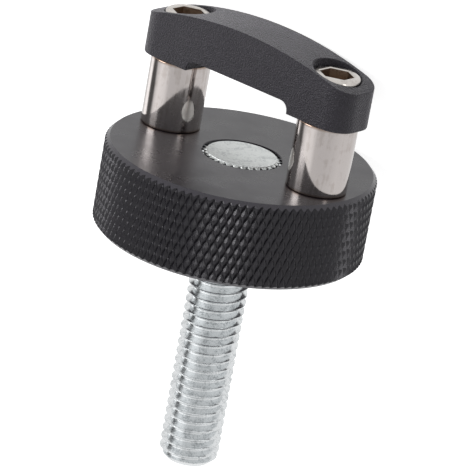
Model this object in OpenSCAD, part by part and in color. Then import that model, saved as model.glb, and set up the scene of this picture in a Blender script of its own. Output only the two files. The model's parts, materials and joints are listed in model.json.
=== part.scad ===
// Thumb screw with a knurled disc, a press-fitted threaded stud and an arched handle bar on two
// polished spacers. Each piece is drawn upright, with z = 0 at the disc's upper face, the stud
// pointing down and the bar along x. The whole screw is then laid down as it comes to rest on a
// bench: on the disc's rim and the handle bar's edge, with the stud pointing up towards +y.

/* [Disc] */
// Diameter over the crests of the knurl
disc_d = 36; // [35.5:0.5:60]
// Thickness of the disc
disc_h = 11.6; // [10:0.1:24]
// Width of the 45 degree chamfer on both rims
disc_chamfer = 0.6; // [0.5:0.1:1.5]

/* [Knurl] */
// Diamonds round the rim, a multiple of four so that crests lie on both axes
knurl_count = 108; // [60:4:140]
// Rows of half diamonds over the rim's width
knurl_rows = 8; // [4:2:12]
// Depth of the grooves
knurl_depth = 0.35; // [0.1:0.05:0.4]

/* [Stud] */
// Major diameter of the thread
thread_d = 8; // [5:0.5:9]
// Length of the thread that stands out of the disc
thread_l = 32; // [12:1:80]
// Length of the 45 degree chamfer at the stud's tip
tip_chamfer = 1; // [0.4:0.1:1.5]
// Diameter of the plain neck inside the disc
neck_d = 8.6; // [8.2:0.1:9]
// Diameter of the stud's flat head
head_d = 9.3; // [9.1:0.1:10]
// Thickness of the head below the disc's face
head_h = 3; // [1.5:0.1:5]
// Height by which the head stands above the disc's face
head_proud = 0.1; // [0:0.05:0.5]
// Splines round the head's collar
spline_count = 30; // [16:1:40]
// Height of the splines
spline_depth = 0.65; // [0.3:0.05:0.8]
// Depth of the spline ends below the disc's face
spline_sink = 0.25; // [0.1:0.05:0.8]

/* [Spacers] */
// Outer diameter of the spacers
spacer_d = 8; // [6.5:0.1:9]
// Height of the spacers
spacer_h = 9.3; // [5:0.1:20]
// Distance between the two spacer axes
spacer_pitch = 25; // [21:0.5:26]
// Width of the broken edges at both ends
spacer_edge = 0.15; // [0.05:0.05:0.4]

/* [Handle bar] */
// Distance from a screw axis to the bar's end
bar_overhang = 4.8; // [4.5:0.1:7]
// Width of the bar
bar_w = 7.9; // [7.7:0.1:10]
// Height of the finger recess between the two feet
recess_h = 1.5; // [0.5:0.1:3]
// Radius in the two corners of the finger recess
recess_r = 1.2; // [0.3:0.1:1.5]
// Thickness of the bar over the recess, at the crown
crown_t = 6.5; // [5.8:0.1:10]
// Radius of the arch along the top
arch_r = 56; // [40:1:200]
// Radius of the four upright corners
corner_r = 3; // [0.5:0.1:3.5]

/* [Cap screws] */
// Diameter of the screw shanks
screw_d = 4; // [2.5:0.1:4.5]
// Length of the screw thread in the disc
screw_grip = 7; // [3:0.5:8]
// Diameter of the screw heads
screw_head_d = 6.3; // [6:0.1:6.6]
// Height of the screw heads
screw_head_h = 3.6; // [3:0.1:4]
// Depth of the head's top below the arch, at the screw axis
screw_sink = 0.25; // [0:0.05:1]
// Width of the chamfer round the head's top
screw_chamfer = 0.3; // [0.1:0.05:0.5]
// Width across the flats of the hexagon socket
hex_af = 4; // [2.5:0.1:4.2]
// Depth of the hexagon socket
hex_depth = 2.4; // [1:0.1:2.6]

/* [Clearances] */
// Radial gap between a threaded or pressed shank and its hole
fit_gap = 0.03; // [0.02:0.01:0.1]
// Radial gap between a screw shank and the holes in the bar and the spacers
pass_gap = 0.2; // [0.1:0.05:0.3]
// Radial gap between a screw head and its counterbore
bore_gap = 0.15; // [0.1:0.05:0.3]
// Depth left free below a screw's tip
tip_gap = 0.5; // [0.2:0.1:1]

/* [Hidden] */

disc_r = disc_d / 2;
land_h = disc_h - 2 * disc_chamfer;
screw_x = spacer_pitch / 2;

// The head's collar: the splines' crests fit the recess in the disc
spline_r = head_d / 2 + spline_depth;
head_seat_z = -head_h;

// Heights of the handle bar
foot_z = spacer_h;
recess_z = foot_z + recess_h;
crown_z = recess_z + crown_t;
arch_z = crown_z - arch_r;
bar_half_l = screw_x + bar_overhang;
foot_x = screw_x - spacer_d / 2;

// Heights along a cap screw
arch_at_screw_z = arch_z + sqrt(arch_r * arch_r - screw_x * screw_x);
screw_top_z = arch_at_screw_z - screw_sink;
screw_seat_z = screw_top_z - screw_head_h;

// How the screw lies on the bench. It touches with the rim's crests, just below the upper chamfer,
// and with the bar's edge at the crown, which gives the lean of the screw axis.
lean = atan2(disc_r - bar_w / 2, crown_z + disc_chamfer);
lift = disc_r * cos(lean) - disc_chamfer * sin(lean);

// Place along y, in the laid screw, of an upright point given by its y and z
function laid_y(y, z) = -z * cos(lean) - y * sin(lean);

// The laid screw is centred on y = 0, between its two furthest edges there
stud_end_z = -disc_h - thread_l;
stud_side = max(
    laid_y(tip_chamfer - thread_d / 2, stud_end_z),
    laid_y(-thread_d / 2, stud_end_z + tip_chamfer),
    laid_y(-disc_r, disc_chamfer - disc_h)
);
handle_side = min(laid_y(bar_w / 2, crown_z), laid_y(disc_r, -disc_chamfer));
middle_y = (stud_side + handle_side) / 2;

// Amount by which a cutting tool runs past a face
over = 1;

$fn = 96;

// Lays an upright piece down with the whole screw
module laid() {
    translate([0, -middle_y, lift]) rotate([90 + lean, 0, 0]) children();
}

// Repeats its children on both screw axes
module on_both_axes() {
    for (side = [-1, 1]) {
        translate([side * screw_x, 0, 0]) children();
    }
}

// A ring of crests and grooves, level 0 below and knurl_rows on top. The two outermost rings lie
// on the chamfers, where a groove, being deeper, runs further out than a crest.
function knurl_ring(level) = [
    for (step = [0:2 * knurl_count - 1])
        let (
            groove = (step + level) % 2,
            r = disc_r - groove * knurl_depth,
            runout = level == 0 ? -groove * knurl_depth : level == knurl_rows ? groove * knurl_depth : 0,
            z = -disc_h + disc_chamfer + land_h * level / knurl_rows + runout,
            a = 180 * step / knurl_count
        )
        [r * cos(a), r * sin(a), z]
];

// A plain ring with the knurl's number of points, where a chamfer meets a face
function face_ring(z) = [
    for (step = [0:2 * knurl_count - 1])
        let (a = 180 * step / knurl_count)
        [(disc_r - disc_chamfer) * cos(a), (disc_r - disc_chamfer) * sin(a), z]
];

// Two triangles between a ring and the next one above it, split along the groove so that each
// diamond keeps four flat sides. The face ring below is number 0, and knurl level 0 is number 1.
function knurl_pair(number, step) =
    let (
        ring = 2 * knurl_count,
        next = (step + 1) % ring,
        a = number * ring + step,
        b = number * ring + next,
        c = (number + 1) * ring + next,
        d = (number + 1) * ring + step,
        starts_in_groove = (step + number) % 2 == 0
    )
    starts_in_groove ? [[a, d, c], [a, c, b]] : [[a, d, b], [b, d, c]];

// The solid disc with its diamond knurl, each diamond a low pyramid between crossing grooves
module knurled_blank() {
    ring = 2 * knurl_count;
    top_ring = knurl_rows + 2;
    points = concat(
        face_ring(-disc_h),
        [for (level = [0:knurl_rows]) each knurl_ring(level)],
        face_ring(0)
    );
    sides = [
        for (number = [0:top_ring - 1])
            for (step = [0:ring - 1])
                each knurl_pair(number, step)
    ];
    below = [for (step = [0:ring - 1]) step];
    above = [for (step = [ring - 1:-1:0]) top_ring * ring + step];
    polyhedron(points, concat(sides, [below, above]), convexity = 4);
}

// The black disc, with a stepped bore for the stud and two blind tapped holes for the cap screws
module knurled_disc() {
    color("#2b2a2c") laid() difference() {
        knurled_blank();
        translate([0, 0, -disc_h - over]) cylinder(d = neck_d + 2 * fit_gap, h = disc_h + 2 * over);
        translate([0, 0, head_seat_z]) cylinder(r = spline_r + fit_gap, h = head_h + over);
        on_both_axes() translate([0, 0, -screw_grip - tip_gap])
            cylinder(d = screw_d + 2 * fit_gap, h = screw_grip + tip_gap + over);
    }
}

// Outline of the splined collar. Each spline takes crest_half of its pitch on either side of its
// middle at the crest, and root_half at the root.
module spline_outline() {
    pitch = 360 / spline_count;
    crest_half = 0.2;
    root_half = 0.36;
    root_r = spline_r - 2 / 3 * spline_depth;
    corners = [[root_r, -root_half], [spline_r, -crest_half], [spline_r, crest_half], [root_r, root_half]];
    polygon([
        for (i = [0:spline_count - 1])
            for (corner = corners)
                let (a = (i + corner[1]) * pitch)
                [corner[0] * cos(a), corner[0] * sin(a)]
    ]);
}

// The threaded stud with its round splined head, one piece. The thread is drawn at its major diameter.
module stud() {
    color("#c9cdd0") laid() union() {
        rotate_extrude() polygon([
            [0, stud_end_z],
            [thread_d / 2 - tip_chamfer, stud_end_z],
            [thread_d / 2, stud_end_z + tip_chamfer],
            [thread_d / 2, -disc_h],
            [neck_d / 2, -disc_h],
            [neck_d / 2, 0],
            [0, 0]
        ]);
        translate([0, 0, head_seat_z]) cylinder(d = head_d, h = head_h + head_proud);
        translate([0, 0, head_seat_z]) linear_extrude(head_h - spline_sink) spline_outline();
    }
}

// A polished tube with lightly broken edges
module spacer() {
    outer_r = spacer_d / 2;
    inner_r = screw_d / 2 + pass_gap;
    rotate_extrude() polygon([
        [inner_r, 0],
        [outer_r - spacer_edge, 0],
        [outer_r, spacer_edge],
        [outer_r, spacer_h - spacer_edge],
        [outer_r - spacer_edge, spacer_h],
        [inner_r, spacer_h]
    ]);
}

module spacer_left() {
    color("#cfc8c2") laid() translate([-screw_x, 0, 0]) spacer();
}

module spacer_right() {
    color("#cfc8c2") laid() translate([screw_x, 0, 0]) spacer();
}

// A rectangle with four round corners, centred on the origin
module rounded_rectangle(length, width, radius) {
    square([length - 2 * radius, width], center = true);
    square([length, width - 2 * radius], center = true);
    for (x = [-1, 1], y = [-1, 1]) {
        translate([x * (length / 2 - radius), y * (width / 2 - radius)]) circle(radius);
    }
}

// The bar seen from the front: arched on top, with two flat feet and a recess between them. It runs
// past both ends, which the bar's outline cuts.
module bar_profile() {
    recess_len = 2 * foot_x;
    cut_h = 2 * recess_h + 2 * recess_r;
    difference() {
        intersection() {
            translate([-bar_half_l - over, foot_z]) square([2 * (bar_half_l + over), crown_z - foot_z]);
            translate([0, arch_z]) circle(arch_r, $fn = 720);
        }
        translate([0, recess_z - cut_h / 2]) rounded_rectangle(recess_len, cut_h, recess_r);
    }
}

// The arched handle bar with its counterbored screw holes
module handle_bar() {
    color("#47464a") laid() difference() {
        intersection() {
            rotate([90, 0, 0]) linear_extrude(bar_w + 2 * over, center = true) bar_profile();
            linear_extrude(crown_z + over) rounded_rectangle(2 * bar_half_l, bar_w, corner_r);
        }
        on_both_axes() {
            translate([0, 0, foot_z - over]) cylinder(d = screw_d + 2 * pass_gap, h = crown_z - foot_z + 2 * over);
            translate([0, 0, screw_seat_z]) cylinder(d = screw_head_d + 2 * bore_gap, h = crown_z - screw_seat_z + over);
        }
    }
}

// A cap screw with a hexagon socket, from its tip in the disc up to its head in the counterbore
module cap_screw() {
    shank_r = screw_d / 2;
    head_r = screw_head_d / 2;
    difference() {
        rotate_extrude() polygon([
            [0, -screw_grip],
            [shank_r - screw_chamfer, -screw_grip],
            [shank_r, -screw_grip + screw_chamfer],
            [shank_r, screw_seat_z],
            [head_r, screw_seat_z],
            [head_r, screw_top_z - screw_chamfer],
            [head_r - screw_chamfer, screw_top_z],
            [0, screw_top_z]
        ]);
        translate([0, 0, screw_top_z - hex_depth]) rotate([0, 0, 30])
            cylinder(r = hex_af / sqrt(3), h = hex_depth + over, $fn = 6);
    }
}

module cap_screws() {
    color("#b9b3a9") laid() on_both_axes() cap_screw();
}

knurled_disc();
stud();
spacer_left();
spacer_right();
handle_bar();
cap_screws();
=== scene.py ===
"""Knurled thumb screw with an arched handle bar, lying on its rim and its handle.

The pieces are drawn upright in millimetres, as the screw stands in use: z = 0 at the disc's upper
face, the stud pointing down and the handle bar along x. The function lay() puts their points where
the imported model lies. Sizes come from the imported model, turned upright, where it has them.
"""
import json
import math

import bmesh
import bpy
from mathutils import Matrix, Vector

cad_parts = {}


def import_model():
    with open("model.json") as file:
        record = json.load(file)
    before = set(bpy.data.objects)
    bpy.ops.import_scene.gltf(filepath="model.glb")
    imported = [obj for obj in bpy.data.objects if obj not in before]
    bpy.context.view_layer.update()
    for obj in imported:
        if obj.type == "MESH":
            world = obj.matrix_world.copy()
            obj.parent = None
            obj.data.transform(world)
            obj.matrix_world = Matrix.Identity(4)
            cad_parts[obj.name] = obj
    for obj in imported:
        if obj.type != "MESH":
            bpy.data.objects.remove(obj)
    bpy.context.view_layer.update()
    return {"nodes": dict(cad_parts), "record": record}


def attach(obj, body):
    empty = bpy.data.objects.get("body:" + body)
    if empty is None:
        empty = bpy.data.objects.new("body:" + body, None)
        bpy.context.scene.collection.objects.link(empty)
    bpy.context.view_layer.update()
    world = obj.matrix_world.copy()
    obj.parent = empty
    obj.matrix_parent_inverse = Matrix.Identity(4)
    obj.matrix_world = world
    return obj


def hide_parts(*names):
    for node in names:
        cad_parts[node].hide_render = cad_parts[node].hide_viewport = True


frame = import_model()

MM = 0.001
TURN = 2 * math.pi

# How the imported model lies: the axis of its thread mount points from the handle to the stud's tip, and
# the lean is that axis's angle from y towards z
thread = next(mount for mount in frame["record"]["mounts"] if mount["name"] == "thread")
RISING = -Vector(thread["axis"]).normalized()
ALONG = Vector((1, 0, 0))
ACROSS = RISING.cross(ALONG)
LEAN = math.atan2(thread["axis"][2], thread["axis"][1])


def upright_box(node, origin):
    """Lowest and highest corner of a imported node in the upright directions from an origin, in mm."""
    places = [vertex.co - origin for vertex in frame["nodes"][node].data.vertices]
    sides = [[place.dot(way) / MM for place in places] for way in (ALONG, ACROSS, RISING)]
    return [min(side) for side in sides], [max(side) for side in sides]


# The upright origin is the middle of the disc's upper face
on_axis = Vector(thread["pos_m"])
ORIGIN = on_axis + RISING * upright_box("knurled_disc", on_axis)[1][2] * MM

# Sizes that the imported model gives, in mm
disc_low, disc_high = upright_box("knurled_disc", ORIGIN)
stud_low, stud_high = upright_box("stud", ORIGIN)
bar_high = upright_box("handle_bar", ORIGIN)[1]
spacer_low, spacer_high = upright_box("spacer_right", ORIGIN)
screws_low, screws_high = upright_box("cap_screws", ORIGIN)

DISC_R = disc_high[0]
DISC_H = -disc_low[2]
TIP_Z = stud_low[2]
HEAD_Z = stud_high[2]
SPACER_X = (spacer_low[0] + spacer_high[0]) / 2
SPACER_R = (spacer_high[0] - spacer_low[0]) / 2
SPACER_H = spacer_high[2]
CROWN_Z = bar_high[2]
BAR_END = bar_high[0]
BAR_HALF_W = bar_high[1]
SCREW_HEAD_R = screws_high[0] - SPACER_X
SCREW_TOP_Z = screws_high[2]
SCREW_TIP_Z = screws_low[2]

# The disc, in mm. Its knurl has so many diamonds round the rim and so many along it, with crests that
# are blunt over a share of the diamond and a second set of grooves at a share of the depth
DISC_CHAMFER = 0.6
KNURL_COUNT = 108
KNURL_ROWS = 4
KNURL_DEPTH = 0.31
KNURL_TIP = 0.25
KNURL_SECOND = 0.8
BORE_BREAK = 0.1
FIT_GAP = 0.03

# The stud, in mm, with half the thread's crest and half its root as shares of the pitch
THREAD_R = 4.0
THREAD_PITCH = 1.25
THREAD_DEPTH = 0.61 * THREAD_PITCH
CREST_HALF = 0.0625
ROOT_HALF = 0.0625
CREST_SEAM = 0.06
TIP_CHAMFER = 1.0
NECK_R = 4.3
HEAD_R = 4.65
HEAD_SEAT_Z = -3.0
HEAD_EDGE = 0.05
SPLINE_COUNT = 30
SPLINE_R = 5.3
SPLINE_ROOT_R = 4.87
SPLINE_TOP_Z = -0.45
NOTCH_R = 4.97
NOTCH_TOP_Z = -0.02
NOTCH_SLOPE_Z = NOTCH_TOP_Z - (NOTCH_R - HEAD_R) / 2

# The spacers and the bar, in mm
SPACER_EDGE = 0.15
SPACER_BORE_R = 2.2
RECESS_Z = 10.8
RECESS_R = 1.2
RECESS_X = 8.5
ARCH_R = 56.0
CORNER_R = 3.0
BAR_EDGE = 0.13

# The cap screws and their holes, in mm, with the hexagon sockets measured across their flats
SCREW_R = 2.0
SCREW_HEAD_H = 3.6
SCREW_EDGE = 0.45
SCREW_SEAT_Z = SCREW_TOP_Z - SCREW_HEAD_H
SCREW_BORE_GAP = 0.15
SCREW_HOLE_DEPTH = 7.5
HEX_AF = 4.0
HEX_DEPTH = 2.4
HEX_EDGE = 0.12
HEX_FLOOR_Z = SCREW_TOP_Z - HEX_DEPTH
DRILL_R = 0.42 * HEX_AF
DRILL_EDGE_DEPTH = 0.2
DRILL_POINT_DEPTH = 0.9

# How finely the forms are drawn: sides of a round form, and steps along a curve
BORE_SIDES = 120
HOLE_SIDES = 32
STUD_SIDES = 96
SPACER_SIDES = 128
SCREW_SIDES = 96
CUT_SIDES = 64
KNURL_STEPS = 8
RUNOUT_PASSES = 8
THREAD_STEPS = 16
HEAD_EDGE_STEPS = 3
EDGE_STEPS = 4
ARCH_STEPS = 72
RECESS_STEPS = 8
CORNER_STEPS = 12
BEVEL_STEPS = 3

# Points closer than this become one, and scratch shapes reach this far past what they cut, in mm
MERGE = 0.002
PAST = 1.0

# Angles between faces, in degrees: from where an edge is shaded sharp, the same on the bar, and from
# where the bar's edges are broken
SHARP = 30
BAR_SHARP = 28
BAR_BREAK = 40


def lay(point):
    """Place of an upright point, given in mm, in the lying model, in metres."""
    x, y, z = point
    return ORIGIN + (ALONG * x + ACROSS * y + RISING * z) * MM


def on_circle(radius, angle, z, x=0.0):
    """Upright point at a radius and angle about the vertical line through x."""
    return (x + radius * math.cos(angle), radius * math.sin(angle), z)


def aligned(x, y, z, place):
    """Matrix that turns an object's axes to three unit vectors and moves it to a place."""
    return Matrix.Translation(place) @ Matrix((x, y, z)).transposed().to_4x4()


def add_object(name, data):
    """Puts a mesh, lamp or camera into the scene."""
    obj = bpy.data.objects.new(name, data)
    bpy.context.scene.collection.objects.link(obj)
    return obj


def shaded_object(name, mesh, sharp_degrees):
    """Puts a mesh into the scene, shaded smooth up to an angle between its faces, or flat for 0."""
    smooth = sharp_degrees > 0
    mesh.polygons.foreach_set("use_smooth", [smooth] * len(mesh.polygons))
    if smooth:
        mesh.set_sharp_from_angle(angle=math.radians(sharp_degrees))
    return add_object(name, mesh)


def stand_for(obj, node):
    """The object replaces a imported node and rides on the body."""
    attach(obj, "root")
    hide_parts(node)


# Building meshes


class Solid:
    """Collects upright points and faces, then becomes one object."""

    def __init__(self):
        self.points = []
        self.faces = []
        self.slots = []

    def ring(self, points):
        """Adds a closed row of points and returns their numbers."""
        start = len(self.points)
        self.points += points
        return list(range(start, len(self.points)))

    def circle(self, radius, z, count, x=0.0, first=0.0):
        """Adds a level circle about the vertical line through x, turned by a share of one side."""
        return self.ring([on_circle(radius, TURN * (i + first) / count, z, x) for i in range(count)])

    def face(self, numbers, slot=0):
        """Adds a face between numbered points, with a material slot."""
        self.faces.append(numbers)
        self.slots.append(slot)

    def join(self, lower, upper, slot=0):
        """Adds quads between two rings of as many points."""
        count = len(lower)
        for i in range(count):
            j = (i + 1) % count
            self.face([lower[i], lower[j], upper[j], upper[i]], slot)

    def lathe(self, profile, count, x=0.0, first=0.0):
        """Revolves (radius, z) points and returns the rings at both ends."""
        rings = [self.circle(radius, z, count, x, first) for radius, z in profile]
        for lower, upper in zip(rings, rings[1:]):
            self.join(lower, upper)
        return rings[0], rings[-1]

    def fill(self, outer, inner_rings, up):
        """Fills a flat face that has holes, bounded by an outer ring and inner rings."""
        patch = bmesh.new()
        numbers = {}
        for ring in [outer] + inner_rings:
            corners = []
            for number in ring:
                corner = patch.verts.new(self.points[number])
                numbers[corner] = number
                corners.append(corner)
            for i, corner in enumerate(corners):
                patch.edges.new((corner, corners[(i + 1) % len(corners)]))
        bmesh.ops.triangle_fill(patch, edges=patch.edges[:], use_beauty=True)
        for triangle in patch.faces:
            triangle.normal_update()
            corners = [numbers[corner] for corner in triangle.verts]
            if (triangle.normal.z > 0) != up:
                corners.reverse()
            self.face(corners)
        patch.free()

    def mesh(self, name, points, materials, merge):
        """Mesh of the faces, with points that lie together merged and all faces turned outward."""
        mesh = bpy.data.meshes.new(name)
        mesh.from_pydata(points, [], self.faces)
        for material in materials:
            mesh.materials.append(material)
        mesh.polygons.foreach_set("material_index", self.slots)
        shape = bmesh.new()
        shape.from_mesh(mesh)
        bmesh.ops.remove_doubles(shape, verts=shape.verts[:], dist=merge)
        bmesh.ops.recalc_face_normals(shape, faces=shape.faces[:])
        shape.to_mesh(mesh)
        shape.free()
        return mesh

    def object(self, name, materials, sharp_degrees=SHARP):
        """One piece of the lying model."""
        mesh = self.mesh(name, [lay(point) for point in self.points], materials, MERGE * MM)
        return shaded_object(name, mesh, sharp_degrees)

    def tool(self):
        """A scratch object in upright mm, for the cuts of the bar."""
        return add_object("tool", self.mesh("tool", self.points, [], MERGE))


def rounded_edge(radius, top_z, edge, steps):
    """(radius, z) points from the side of a round form over its rounded edge to its flat top."""
    points = []
    for i in range(steps + 1):
        angle = TURN / 4 * i / steps
        points.append((radius - edge * (1 - math.cos(angle)), top_z - edge * (1 - math.sin(angle))))
    return points


# Shader nodes


def feed(links, value, socket):
    """Gives a socket a number, or the value of another socket."""
    if isinstance(value, bpy.types.NodeSocket):
        links.new(value, socket)
    else:
        socket.default_value = value


def calculated(nodes, links, operation, *values):
    """Result of an operation on numbers or sockets."""
    node = nodes.new("ShaderNodeMath")
    node.operation = operation
    for value, socket in zip(values, node.inputs):
        feed(links, value, socket)
    return node.outputs["Value"]


def mapped(nodes, links, value, low, high, from_low=0.0, from_high=1.0):
    """Goes from low to high, each a number or a socket, over a range of a value."""
    node = nodes.new("ShaderNodeMapRange")
    links.new(value, node.inputs["Value"])
    node.inputs["From Min"].default_value = from_low
    node.inputs["From Max"].default_value = from_high
    feed(links, low, node.inputs["To Min"])
    feed(links, high, node.inputs["To Max"])
    return node.outputs["Result"]


def coloured(nodes, links, value, span, low, high):
    """Goes from a low to a high colour over a span of a value."""
    node = nodes.new("ShaderNodeValToRGB")
    for element, place, colour in zip(node.color_ramp.elements, span, (low, high)):
        element.position = place
        element.color = (*colour, 1)
    links.new(value, node.inputs["Fac"])
    return node.outputs["Color"]


def ray_kinds(nodes, links):
    """Whether the camera sees the surface, and whether metal or glass does."""
    path = nodes.new("ShaderNodeLightPath")
    mirrored = calculated(
        nodes, links, "MAXIMUM", path.outputs["Is Glossy Ray"], path.outputs["Is Transmission Ray"],
    )
    return path.outputs["Is Camera Ray"], mirrored


def upright_place(nodes, links):
    """Place on the object with the screw turned upright, in metres."""
    place = nodes.new("ShaderNodeTexCoord")
    turn = nodes.new("ShaderNodeMapping")
    turn.inputs["Rotation"].default_value = (-LEAN - TURN / 4, 0, 0)
    links.new(place.outputs["Object"], turn.inputs["Vector"])
    return turn.outputs["Vector"]


def placed_noise(nodes, links, per_mm, detail, stretch=(1, 1, 1)):
    """Noise in the object's own space, so many features per mm, drawn out along x, y or z by stretch."""
    scale = nodes.new("ShaderNodeMapping")
    scale.inputs["Scale"].default_value = [per_mm / MM / share for share in stretch]
    noise = nodes.new("ShaderNodeTexNoise")
    noise.inputs["Scale"].default_value = 1.0
    noise.inputs["Detail"].default_value = detail
    links.new(upright_place(nodes, links), scale.inputs["Vector"])
    links.new(scale.outputs["Vector"], noise.inputs["Vector"])
    return noise.outputs["Fac"]


# Materials

# Range of a noise's value over which a surface goes from dark to light, or from smooth to rough
NOISE_SPAN = (0.3, 0.7)
# The same for the sum of two noises
SUM_SPAN = (0.8, 1.0)

# Features per mm and detail of the slow changes of a dye layer's roughness and of a metal's colour
CLOUDS = (0.25, 5.0)
BLOTCHES = (0.9, 6.0)

DYE_GRAIN_DETAIL = 3.0
METAL_GRAIN_DETAIL = 4.0

DYE_GLOSS = (0.97, 0.95, 1.0, 1)
SHEEN_COLOUR = (0.95, 0.93, 1.0, 1)
SHEEN_ROUGHNESS = 0.4

# Tint of a metal where it was heated when it was cut, and how far it reaches from the cut, in mm
HEAT_TINT = (0.42, 0.27, 0.17)
HEAT_WIDTH = 0.45

WHITE = (1, 1, 1, 1)


def new_material(name):
    """A material with a Principled shader, and its nodes by short names."""
    material = bpy.data.materials.new(name)
    material.use_nodes = True
    nodes = material.node_tree.nodes
    return material, nodes, material.node_tree.links, nodes["Principled BSDF"]


def add_bump(nodes, links, shader, height, depth_mm):
    """Bump of a depth in mm from a height."""
    bump = nodes.new("ShaderNodeBump")
    bump.inputs["Strength"].default_value = 1.0
    bump.inputs["Distance"].default_value = depth_mm * MM
    links.new(height, bump.inputs["Height"])
    links.new(bump.outputs["Normal"], shader.inputs["Normal"])


def anodised(name, dark, light, roughness, grain_per_mm, grain_mm, specular, sheen=0.0):
    """Anodised aluminium: a dark dye layer with fine grain, and a pale sheen where it is blasted."""
    material, nodes, links, shader = new_material(name)
    shader.inputs["Metallic"].default_value = 0.0
    shader.inputs["Specular IOR Level"].default_value = specular
    shader.inputs["Specular Tint"].default_value = DYE_GLOSS
    shader.inputs["Sheen Weight"].default_value = sheen
    shader.inputs["Sheen Roughness"].default_value = SHEEN_ROUGHNESS
    shader.inputs["Sheen Tint"].default_value = SHEEN_COLOUR
    grain = placed_noise(nodes, links, grain_per_mm, DYE_GRAIN_DETAIL)
    cloud = placed_noise(nodes, links, *CLOUDS)
    links.new(coloured(nodes, links, grain, NOISE_SPAN, dark, light), shader.inputs["Base Color"])
    links.new(mapped(nodes, links, cloud, *roughness, *NOISE_SPAN), shader.inputs["Roughness"])
    add_bump(nodes, links, shader, grain, grain_mm)
    return material


def metal(name, dark, light, roughness, grain_per_mm, grain_mm, stretch=(1, 1, 1)):
    """Bare or plated metal with blotches in its colour and a fine grain in its gloss and surface."""
    material, nodes, links, shader = new_material(name)
    shader.inputs["Metallic"].default_value = 1.0
    blotch = placed_noise(nodes, links, *BLOTCHES)
    grain = placed_noise(nodes, links, grain_per_mm, METAL_GRAIN_DETAIL, stretch)
    both = calculated(nodes, links, "ADD", blotch, grain)
    links.new(coloured(nodes, links, both, SUM_SPAN, dark, light), shader.inputs["Base Color"])
    links.new(mapped(nodes, links, grain, *roughness, *NOISE_SPAN), shader.inputs["Roughness"])
    add_bump(nodes, links, shader, grain, grain_mm)
    return material


def tint_ends(material, length_mm):
    """Tints a metal over a narrow band at both ends of a piece that stands on the disc's face."""
    nodes = material.node_tree.nodes
    links = material.node_tree.links
    base = nodes["Principled BSDF"].inputs["Base Color"]
    place = nodes.new("ShaderNodeSeparateXYZ")
    links.new(upright_place(nodes, links), place.inputs["Vector"])
    half = length_mm / 2
    from_middle = calculated(nodes, links, "SUBTRACT", place.outputs["Z"], ORIGIN.dot(RISING) + half * MM)
    distance = calculated(nodes, links, "ABSOLUTE", from_middle)
    mix = nodes.new("ShaderNodeMix")
    mix.data_type = "RGBA"
    mix.blend_type = "MULTIPLY"
    mix.inputs["B"].default_value = (*HEAT_TINT, 1)
    share = mapped(nodes, links, distance, 0.0, 1.0, (half - HEAT_WIDTH) * MM, half * MM)
    links.new(share, mix.inputs["Factor"])
    links.new(base.links[0].from_socket, mix.inputs["A"])
    links.new(mix.outputs["Result"], base)


DISC_BLACK = anodised(
    "black_anodised", (0.010, 0.008, 0.012), (0.019, 0.0155, 0.022),
    roughness=(0.25, 0.33), grain_per_mm=6, grain_mm=0.003, specular=0.47,
)
# The knurl's anodising is a darker copy of the face's: painted shade, which stands in for the shade in its
# grooves
KNURL_PAINTED_SHADE = anodised(
    "black_anodised_knurl_painted_shade", (0.006, 0.0055, 0.0075), (0.011, 0.010, 0.0135),
    roughness=(0.22, 0.3), grain_per_mm=5, grain_mm=0.01, specular=0.4,
)
# The chamfers' anodising is a lighter copy of the face's: painted light, which stands in for light from
# above the disc's face that no lamp gives
CHAMFER_PAINTED_LIGHT = anodised(
    "black_anodised_chamfer_painted_light", (0.02, 0.018, 0.024), (0.028, 0.025, 0.033),
    roughness=(0.24, 0.3), grain_per_mm=6, grain_mm=0.002, specular=0.6,
)
BLASTED = anodised(
    "blasted_anodised", (0.004, 0.0034, 0.0052), (0.023, 0.020, 0.028),
    roughness=(0.38, 0.46), grain_per_mm=4.8, grain_mm=0.2, specular=0.36, sheen=0.4,
)
POLISHED = metal(
    "polished_stainless", (0.46, 0.42, 0.40), (0.53, 0.49, 0.475),
    roughness=(0.06, 0.14), grain_per_mm=2.2, grain_mm=0.003, stretch=(1, 1, 14),
)
ZINC = metal(
    "zinc_plated", (0.53, 0.55, 0.56), (0.75, 0.77, 0.78),
    roughness=(0.12, 0.24), grain_per_mm=4, grain_mm=0.01,
)
ZINC_FACE = metal(
    "zinc_plated_face", (0.58, 0.60, 0.60), (0.76, 0.78, 0.77),
    roughness=(0.45, 0.6), grain_per_mm=3.2, grain_mm=0.12,
)
STAINLESS = metal(
    "stainless", (0.52, 0.485, 0.455), (0.62, 0.585, 0.55),
    roughness=(0.2, 0.28), grain_per_mm=3, grain_mm=0.002,
)
SOCKET_BROWN = metal(
    "stainless_socket", (0.34, 0.26, 0.20), (0.44, 0.35, 0.28),
    roughness=(0.3, 0.45), grain_per_mm=4, grain_mm=0.01,
)
tint_ends(POLISHED, SPACER_H)


# The knurled disc


def knurl_drop(around, along):
    """Depth below the crests, where around and along count diamonds round and along the rim."""
    def groove(phase):
        from_crest = 1 - abs(2 * (phase - math.floor(phase)) - 1)
        return max(0.0, from_crest - KNURL_TIP) / (1 - KNURL_TIP)

    return KNURL_DEPTH * max(groove(around - along), KNURL_SECOND * groove(around + along))


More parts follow.
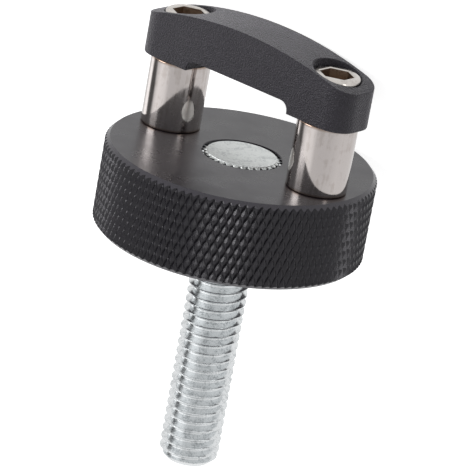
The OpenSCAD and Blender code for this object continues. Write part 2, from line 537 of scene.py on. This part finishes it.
def knurled_rim(solid):
    """The knurl between two chamfers. Returns the rings at the edges of the upper and lower face."""
    count = KNURL_COUNT * KNURL_STEPS
    rows = KNURL_ROWS * KNURL_STEPS
    land = DISC_H - 2 * DISC_CHAMFER
    land_z = -DISC_H + DISC_CHAMFER

    def knurl_point(step, row):
        drop = knurl_drop(step / KNURL_STEPS, row / KNURL_STEPS)
        return on_circle(DISC_R - drop, TURN * step / count, land_z + land * row / rows)

    def runout(side):
        """Where each column of the knurl meets a chamfer, on top for side 1 and below for side -1.

        The knurl's depth there depends on the height, so each pass starts from the depth of the last.
        """
        points = []
        for step in range(count):
            rise = 0.0
            for _ in range(RUNOUT_PASSES):
                along = (KNURL_ROWS if side > 0 else 0) + side * rise * KNURL_ROWS / land
                rise = knurl_drop(step / KNURL_STEPS, along)
            z = -DISC_CHAMFER + rise if side > 0 else land_z - rise
            points.append(on_circle(DISC_R - rise, TURN * step / count, z))
        return solid.ring(points)

    # Slot 1, the knurl and its runouts, takes the darker copy of the anodising, painted for shade
    rings = [solid.ring([knurl_point(step, row) for step in range(count)]) for row in range(rows + 1)]
    for row in range(rows):
        centres = solid.ring([knurl_point(step + 0.5, row + 0.5) for step in range(count)])
        for i in range(count):
            j = (i + 1) % count
            corners = [rings[row][i], rings[row][j], rings[row + 1][j], rings[row + 1][i]]
            for corner, after in zip(corners, corners[1:] + corners[:1]):
                solid.face([corner, after, centres[i]], 1)
    top = runout(1)
    bottom = runout(-1)
    top_edge = solid.circle(DISC_R - DISC_CHAMFER, 0.0, count)
    bottom_edge = solid.circle(DISC_R - DISC_CHAMFER, -DISC_H, count)
    solid.join(rings[-1], top, 1)
    solid.join(bottom, rings[0], 1)
    # Slot 2, the chamfers, takes the lighter copy of the anodising, painted for light from above
    solid.join(top, top_edge, 2)
    solid.join(bottom_edge, bottom, 2)
    return top_edge, bottom_edge


def knurled_disc():
    """The disc: its knurled rim, both faces, the stepped bore and the screw holes."""
    solid = Solid()
    top_edge, bottom_edge = knurled_rim(solid)
    neck_bore_r = NECK_R + FIT_GAP
    head_bore_r = SPLINE_R + FIT_GAP
    bore = [
        (neck_bore_r + BORE_BREAK, -DISC_H),
        (neck_bore_r, -DISC_H + BORE_BREAK),
        (neck_bore_r, HEAD_SEAT_Z),
        (head_bore_r, HEAD_SEAT_Z),
        (head_bore_r, -BORE_BREAK),
        (head_bore_r + BORE_BREAK, 0.0),
    ]
    bore_bottom, bore_top = solid.lathe(bore, BORE_SIDES)
    hole = [(SCREW_R + FIT_GAP, -SCREW_HOLE_DEPTH), (SCREW_R + FIT_GAP, 0.0)]
    mouths = []
    for x in (-SPACER_X, SPACER_X):
        hole_floor, mouth = solid.lathe(hole, HOLE_SIDES, x)
        solid.face(hole_floor)
        mouths.append(mouth)
    solid.fill(top_edge, [bore_top] + mouths, up=True)
    solid.fill(bottom_edge, [bore_bottom], up=False)
    obj = solid.object("knurled_disc_visual", [DISC_BLACK, KNURL_PAINTED_SHADE, CHAMFER_PAINTED_LIGHT], sharp_degrees=0)
    stand_for(obj, "knurled_disc")


# The stud


def thread_radius(phase):
    """Radius of the rolled thread at a share of a turn from the crest, with a fine seam on the crest."""
    from_crest = abs(phase - round(phase))
    if from_crest < CREST_HALF:
        return THREAD_R - CREST_SEAM * (1 - from_crest / CREST_HALF)
    flank = (from_crest - CREST_HALF) / (0.5 - CREST_HALF - ROOT_HALF)
    return THREAD_R - THREAD_DEPTH * min(1.0, flank)


def threaded_part(solid):
    """The thread from the tip to the disc, on a grid whose rows follow the helix.

    The grid begins one turn below the tip and its first column goes on for one turn above the disc,
    because it also closes the last column. Points past either end stay on that end.
    """
    top_z = -DISC_H
    tip_r = THREAD_R - TIP_CHAMFER
    turns = (top_z - TIP_Z) / THREAD_PITCH
    rows = math.ceil(THREAD_STEPS * (turns + 2)) + 2
    columns = []
    for c in range(STUD_SIDES):
        column = []
        for row in range(rows):
            z = TIP_Z + THREAD_PITCH * (row / THREAD_STEPS + c / STUD_SIDES - 1)
            kept_z = min(top_z, max(TIP_Z, z))
            radius = min(thread_radius(row / THREAD_STEPS), tip_r + kept_z - TIP_Z)
            if z >= top_z:
                radius = NECK_R
            column.append(on_circle(radius, TURN * c / STUD_SIDES, kept_z))
        columns.append(solid.ring(column))
    one_turn_on = columns[0][THREAD_STEPS:]
    for this, after in zip(columns, columns[1:] + [one_turn_on]):
        for row in range(len(after) - 1):
            solid.face([this[row], after[row], after[row + 1], this[row + 1]])
    solid.face(solid.circle(tip_r, TIP_Z, STUD_SIDES))


def spline_ring(crest_r, root_r, z):
    """Outline of the splines, from places given as shares of their pitch. Equal radii make a circle."""
    pitch = TURN / SPLINE_COUNT
    places = [
        (-0.5, root_r),
        (-0.36, root_r),
        (-0.2, crest_r),
        (-0.07, crest_r),
        (0.07, crest_r),
        (0.2, crest_r),
        (0.36, root_r),
        (0.43, root_r),
    ]
    points = []
    for i in range(SPLINE_COUNT):
        points += [on_circle(radius, (i + share) * pitch, z) for share, radius in places]
    return points


def stud():
    """The zinc-plated stud: thread, neck, sunk splined collar and round head with a notched rim."""
    solid = Solid()
    threaded_part(solid)
    neck_top = solid.lathe([(NECK_R, -DISC_H), (NECK_R, HEAD_SEAT_Z)], STUD_SIDES)[1]
    collar = [
        spline_ring(SPLINE_R, SPLINE_ROOT_R, HEAD_SEAT_Z),
        spline_ring(SPLINE_R, SPLINE_ROOT_R, SPLINE_TOP_Z),
        spline_ring(NOTCH_R, HEAD_R, SPLINE_TOP_Z),
        spline_ring(NOTCH_R, HEAD_R, NOTCH_SLOPE_Z),
    ]
    head = [spline_ring(HEAD_R, HEAD_R, NOTCH_TOP_Z)]
    for radius, z in rounded_edge(HEAD_R, HEAD_Z, HEAD_EDGE, HEAD_EDGE_STEPS):
        head.append(spline_ring(radius, radius, z))
    rings = [solid.ring(points) for points in collar + head]
    for level, (lower, upper) in enumerate(zip(rings, rings[1:])):
        solid.join(lower, upper, 1 if level >= len(collar) - 1 else 0)
    solid.fill(rings[0], [neck_top], up=False)
    solid.face(rings[-1], 1)
    obj = solid.object("stud_visual", [ZINC, ZINC_FACE])
    stand_for(obj, "stud")


# The spacers


def spacer(name, x):
    """A polished tube with rounded edges."""
    solid = Solid()
    upper = rounded_edge(SPACER_R, SPACER_H, SPACER_EDGE, EDGE_STEPS)
    lower = [(radius, SPACER_H - z) for radius, z in reversed(upper)]
    profile = [(SPACER_BORE_R, 0.0)] + lower + upper + [(SPACER_BORE_R, SPACER_H)]
    bottom, top = solid.lathe(profile, SPACER_SIDES, x)
    solid.join(top, bottom)
    obj = solid.object(name + "_visual", [POLISHED])
    stand_for(obj, name)


# The handle bar


def apply_modifier(obj, kind, **settings):
    """Runs one modifier on an object and keeps its result as the mesh."""
    modifier = obj.modifiers.new(kind, kind)
    for key, value in settings.items():
        setattr(modifier, key, value)
    depsgraph = bpy.context.evaluated_depsgraph_get()
    result = bpy.data.meshes.new_from_object(obj.evaluated_get(depsgraph))
    obj.modifiers.clear()
    obj.data = result


def prism(outline, low, high, upright):
    """An outline given in (x, y) and extruded along z when upright, or else in (x, z) and along y."""
    solid = Solid()
    ends = []
    for end in (low, high):
        points = [(a, b, end) if upright else (a, end, b) for a, b in outline]
        ends.append(solid.ring(points))
    solid.face(ends[0])
    solid.face(ends[1])
    solid.join(*ends)
    return solid.tool()


def arc(cx, cy, radius, start, end, count):
    """Points on an arc, angles in degrees."""
    angles = [math.radians(start + (end - start) * i / count) for i in range(count + 1)]
    return [(cx + radius * math.cos(angle), cy + radius * math.sin(angle)) for angle in angles]


def bar_profile():
    """The bar from the front: arch on top, two flat feet and the finger recess between them."""
    end = BAR_END + PAST
    half = math.degrees(math.asin(end / ARCH_R))
    corner_x = RECESS_X - RECESS_R
    corner_z = RECESS_Z - RECESS_R
    top = arc(0, CROWN_Z - ARCH_R, ARCH_R, 90 - half, 90 + half, ARCH_STEPS)
    left = arc(-corner_x, corner_z, RECESS_R, 180, 90, RECESS_STEPS)
    right = arc(corner_x, corner_z, RECESS_R, 90, 0, RECESS_STEPS)
    left_foot = [(-end, SPACER_H), (-RECESS_X, SPACER_H)]
    right_foot = [(RECESS_X, SPACER_H), (end, SPACER_H)]
    return top + left_foot + left + right + right_foot


def bar_outline():
    """The bar from above: a rectangle with round corners."""
    x = BAR_END - CORNER_R
    y = BAR_HALF_W - CORNER_R
    points = []
    for cx, cy, start in ((x, y, 0), (-x, y, 90), (-x, -y, 180), (x, -y, 270)):
        points += arc(cx, cy, CORNER_R, start, start + 90, CORNER_STEPS)
    return points


def screw_cut(x):
    """The stepped hole for a cap screw."""
    solid = Solid()
    head_bore_r = SCREW_HEAD_R + SCREW_BORE_GAP
    profile = [
        (SPACER_BORE_R, SPACER_H - PAST),
        (SPACER_BORE_R, SCREW_SEAT_Z),
        (head_bore_r, SCREW_SEAT_Z),
        (head_bore_r, CROWN_Z + PAST),
    ]
    bottom, top = solid.lathe(profile, CUT_SIDES, x, first=0.5)
    solid.face(bottom)
    solid.face(top)
    return solid.tool()


def handle_bar():
    """The arched bar, cut from one block, with all its edges lightly broken."""
    bar = prism(bar_profile(), -BAR_HALF_W - PAST, BAR_HALF_W + PAST, upright=False)
    cuts = [(prism(bar_outline(), SPACER_H - PAST, CROWN_Z + PAST, upright=True), "INTERSECT")]
    cuts += [(screw_cut(x), "DIFFERENCE") for x in (-SPACER_X, SPACER_X)]
    for cutter, operation in cuts:
        apply_modifier(bar, "BOOLEAN", object=cutter, operation=operation, solver="EXACT")
        bpy.data.objects.remove(cutter)
    apply_modifier(
        bar, "BEVEL", width=BAR_EDGE, segments=BEVEL_STEPS, limit_method="ANGLE",
        angle_limit=math.radians(BAR_BREAK), use_clamp_overlap=False,
    )
    mesh = bar.data
    bpy.data.objects.remove(bar)
    mesh.name = "handle_bar_visual"
    mesh.transform(aligned(ALONG, ACROSS, RISING, ORIGIN) @ Matrix.Scale(MM, 4))
    mesh.materials.append(BLASTED)
    obj = shaded_object("handle_bar_visual", mesh, BAR_SHARP)
    apply_modifier(obj, "WEIGHTED_NORMAL", keep_sharp=True)
    stand_for(obj, "handle_bar")


# The cap screws


def hexagon_ring(across_flats, z, x):
    """Outline of a hexagon about the vertical line through x, with two of its flats facing along x."""
    sector = TURN / 6
    points = []
    for i in range(SCREW_SIDES):
        angle = TURN * i / SCREW_SIDES
        from_flat = (angle + sector / 2) % sector - sector / 2
        points.append(on_circle(across_flats / 2 / math.cos(from_flat), angle, z, x))
    return points


def cap_screws():
    """Both socket-head cap screws, each from its tip in the disc up to its head in the bar."""
    solid = Solid()
    profile = [
        (SCREW_R - SCREW_EDGE, SCREW_TIP_Z),
        (SCREW_R, SCREW_TIP_Z + SCREW_EDGE),
        (SCREW_R, SCREW_SEAT_Z),
        (SCREW_HEAD_R, SCREW_SEAT_Z),
    ]
    profile += rounded_edge(SCREW_HEAD_R, SCREW_TOP_Z, SCREW_EDGE, EDGE_STEPS)
    for x in (-SPACER_X, SPACER_X):
        tip, top = solid.lathe(profile, SCREW_SIDES, x)
        mouth = solid.ring(hexagon_ring(HEX_AF + 2 * HEX_EDGE, SCREW_TOP_Z, x))
        wall = solid.ring(hexagon_ring(HEX_AF, SCREW_TOP_Z - HEX_EDGE, x))
        socket_floor = solid.ring(hexagon_ring(HEX_AF, HEX_FLOOR_Z, x))
        drill = solid.circle(DRILL_R, HEX_FLOOR_Z - DRILL_EDGE_DEPTH, SCREW_SIDES, x)
        point = solid.circle(0.0, HEX_FLOOR_Z - DRILL_POINT_DEPTH, SCREW_SIDES, x)
        solid.face(tip)
        solid.join(top, mouth)
        solid.join(mouth, wall)
        solid.join(wall, socket_floor, 1)
        solid.join(socket_floor, drill, 1)
        solid.join(drill, point, 1)
    obj = solid.object("cap_screws_visual", [STAINLESS, SOCKET_BROWN])
    stand_for(obj, "cap_screws")


# Camera, as the photograph sees the screw: turned about its axis, from above the disc's face
VIEW_TURN = math.radians(36.42)
VIEW_RISE = math.radians(19.29)
VIEW_ROLL = math.radians(-10.27)
VIEW_DISTANCE = 503.5 * MM
FOCAL_PIXELS = 3865.0
FRAME_PIXELS = 470
FACE_CENTRE_PIXEL = (242.07, 154.63)
SENSOR_MM = 36.0

# Unit vectors in the plane of the disc's face: towards the camera's side and to its right
FRONT = ACROSS * math.cos(VIEW_TURN) - ALONG * math.sin(VIEW_TURN)
SIDE = -ALONG * math.cos(VIEW_TURN) - ACROSS * math.sin(VIEW_TURN)


def camera():
    """A long lens, aimed so that the middle of the disc's face falls on its pixel."""
    toward = FRONT * math.cos(VIEW_RISE) + RISING * math.sin(VIEW_RISE)
    steep = toward.cross(SIDE)
    right = SIDE * math.cos(VIEW_ROLL) - steep * math.sin(VIEW_ROLL)
    up = SIDE * math.sin(VIEW_ROLL) + steep * math.cos(VIEW_ROLL)
    off_x = FRAME_PIXELS / 2 - FACE_CENTRE_PIXEL[0]
    off_y = FACE_CENTRE_PIXEL[1] - FRAME_PIXELS / 2
    back = (toward * FOCAL_PIXELS - right * off_x - up * off_y).normalized()
    across = up.cross(back).normalized()
    data = bpy.data.cameras.new("camera")
    data.sensor_width = SENSOR_MM
    data.lens = SENSOR_MM * FOCAL_PIXELS / FRAME_PIXELS
    data.clip_start = 0.01
    data.clip_end = 20
    obj = add_object("camera", data)
    obj.matrix_world = aligned(across, back.cross(across), back, ORIGIN + toward * VIEW_DISTANCE)
    bpy.context.scene.camera = obj


# Floor, world and lamps

# Dim and bright zones of the studio: bearing to the camera's right and rise over the disc's face, the
# angles from their middle at which they begin and are full, all in degrees, and the light's level there
LIGHT_ZONES = [
    (0, 0, 80, 20, 0.8),
    (-102, -19, 17, 8, 0.12),
    (-56, -19, 26, 13, 1.38),
]

# Soft boxes: bearing and rise in degrees, width and height in metres, and watts
LAMPS = {
    "key": (-73, 13, 0.3, 0.25, 1.8),
    "side": (-128, -17, 0.2, 0.2, 0.08),
    "rim": (42, 5, 0.12, 0.12, 0.25),
}
LAMP_DISTANCE = 0.6
LAMP_TARGET = (0, 0, -5)

# Level of the world on matt surfaces, and the floor's colour, gloss and own light
DIFFUSE_LEVEL = 0.55
FLOOR_COLOUR = (0.8, 0.8, 0.8, 1)
FLOOR_ROUGHNESS = 0.9
FLOOR_SPECULAR = 0.1
FLOOR_GLOW = 0.8
FLOOR_MIRRORED = 0.95
FLOOR_HALF = 3.0


def bearing_vector(bearing, rise):
    """The way to a place at a bearing to the camera's right and a rise over the disc's face, in degrees."""
    bearing = math.radians(bearing)
    rise = math.radians(rise)
    flat = FRONT * math.cos(bearing) + SIDE * math.sin(bearing)
    return flat * math.cos(rise) + RISING * math.sin(rise)


def zoned(nodes, links, zone, level):
    """A level of light, lowered or raised within one zone of the studio."""
    bearing, rise, begins, full, inside = zone
    direction = nodes.new("ShaderNodeTexCoord")
    facing = nodes.new("ShaderNodeVectorMath")
    facing.operation = "DOT_PRODUCT"
    facing.inputs[1].default_value = bearing_vector(bearing, rise)
    links.new(direction.outputs["Generated"], facing.inputs[0])
    edges = [math.cos(math.radians(angle)) for angle in (begins, full)]
    share = mapped(nodes, links, facing.outputs["Value"], 1.0, inside, *edges)
    return calculated(nodes, links, "MULTIPLY", level, share)


def world():
    """White for the camera. Metal sees it white and matt surfaces dimmer, both apart from the zones."""
    settings = bpy.data.worlds.new("world")
    bpy.context.scene.world = settings
    settings.use_nodes = True
    nodes = settings.node_tree.nodes
    links = settings.node_tree.links
    seen, mirrored = ray_kinds(nodes, links)
    level = mapped(nodes, links, mirrored, DIFFUSE_LEVEL, 1.0)
    for zone in LIGHT_ZONES:
        level = zoned(nodes, links, zone, level)
    background = nodes["Background"]
    background.inputs["Color"].default_value = WHITE
    links.new(mapped(nodes, links, seen, level, 1.0), background.inputs["Strength"])


def floor():
    """A pale floor that keeps the screw's shadow, fades into the background and shows white in metal."""
    material, nodes, links, shader = new_material("floor")
    shader.inputs["Base Color"].default_value = FLOOR_COLOUR
    shader.inputs["Roughness"].default_value = FLOOR_ROUGHNESS
    shader.inputs["Specular IOR Level"].default_value = FLOOR_SPECULAR
    shader.inputs["Emission Color"].default_value = WHITE
    seen, mirrored = ray_kinds(nodes, links)
    links.new(mapped(nodes, links, seen, 0.0, FLOOR_GLOW), shader.inputs["Emission Strength"])
    plain = nodes.new("ShaderNodeEmission")
    plain.inputs["Strength"].default_value = FLOOR_MIRRORED
    mix = nodes.new("ShaderNodeMixShader")
    links.new(mirrored, mix.inputs["Fac"])
    links.new(shader.outputs["BSDF"], mix.inputs[1])
    links.new(plain.outputs["Emission"], mix.inputs[2])
    links.new(mix.outputs["Shader"], nodes["Material Output"].inputs["Surface"])
    corners = [(x * FLOOR_HALF, y * FLOOR_HALF, 0) for x, y in ((-1, -1), (1, -1), (1, 1), (-1, 1))]
    mesh = bpy.data.meshes.new("floor")
    mesh.from_pydata(corners, [], [(0, 1, 2, 3)])
    mesh.materials.append(material)
    add_object("floor", mesh)


def lamp(name, bearing, rise, width, height, watts):
    """A soft box that faces the screw, its height along the screw's axis."""
    way = bearing_vector(bearing, rise)
    across = RISING.cross(way).normalized()
    data = bpy.data.lights.new(name, "AREA")
    data.shape = "RECTANGLE"
    data.size = width
    data.size_y = height
    data.energy = watts
    obj = add_object(name, data)
    obj.matrix_world = aligned(across, way.cross(across), way, lay(LAMP_TARGET) + way * LAMP_DISTANCE)


knurled_disc()
stud()
spacer("spacer_left", -SPACER_X)
spacer("spacer_right", SPACER_X)
handle_bar()
cap_screws()
camera()
world()
floor()
for lamp_name, setting in LAMPS.items():
    lamp(lamp_name, *setting)
bpy.context.scene.view_settings.view_transform = "Standard"
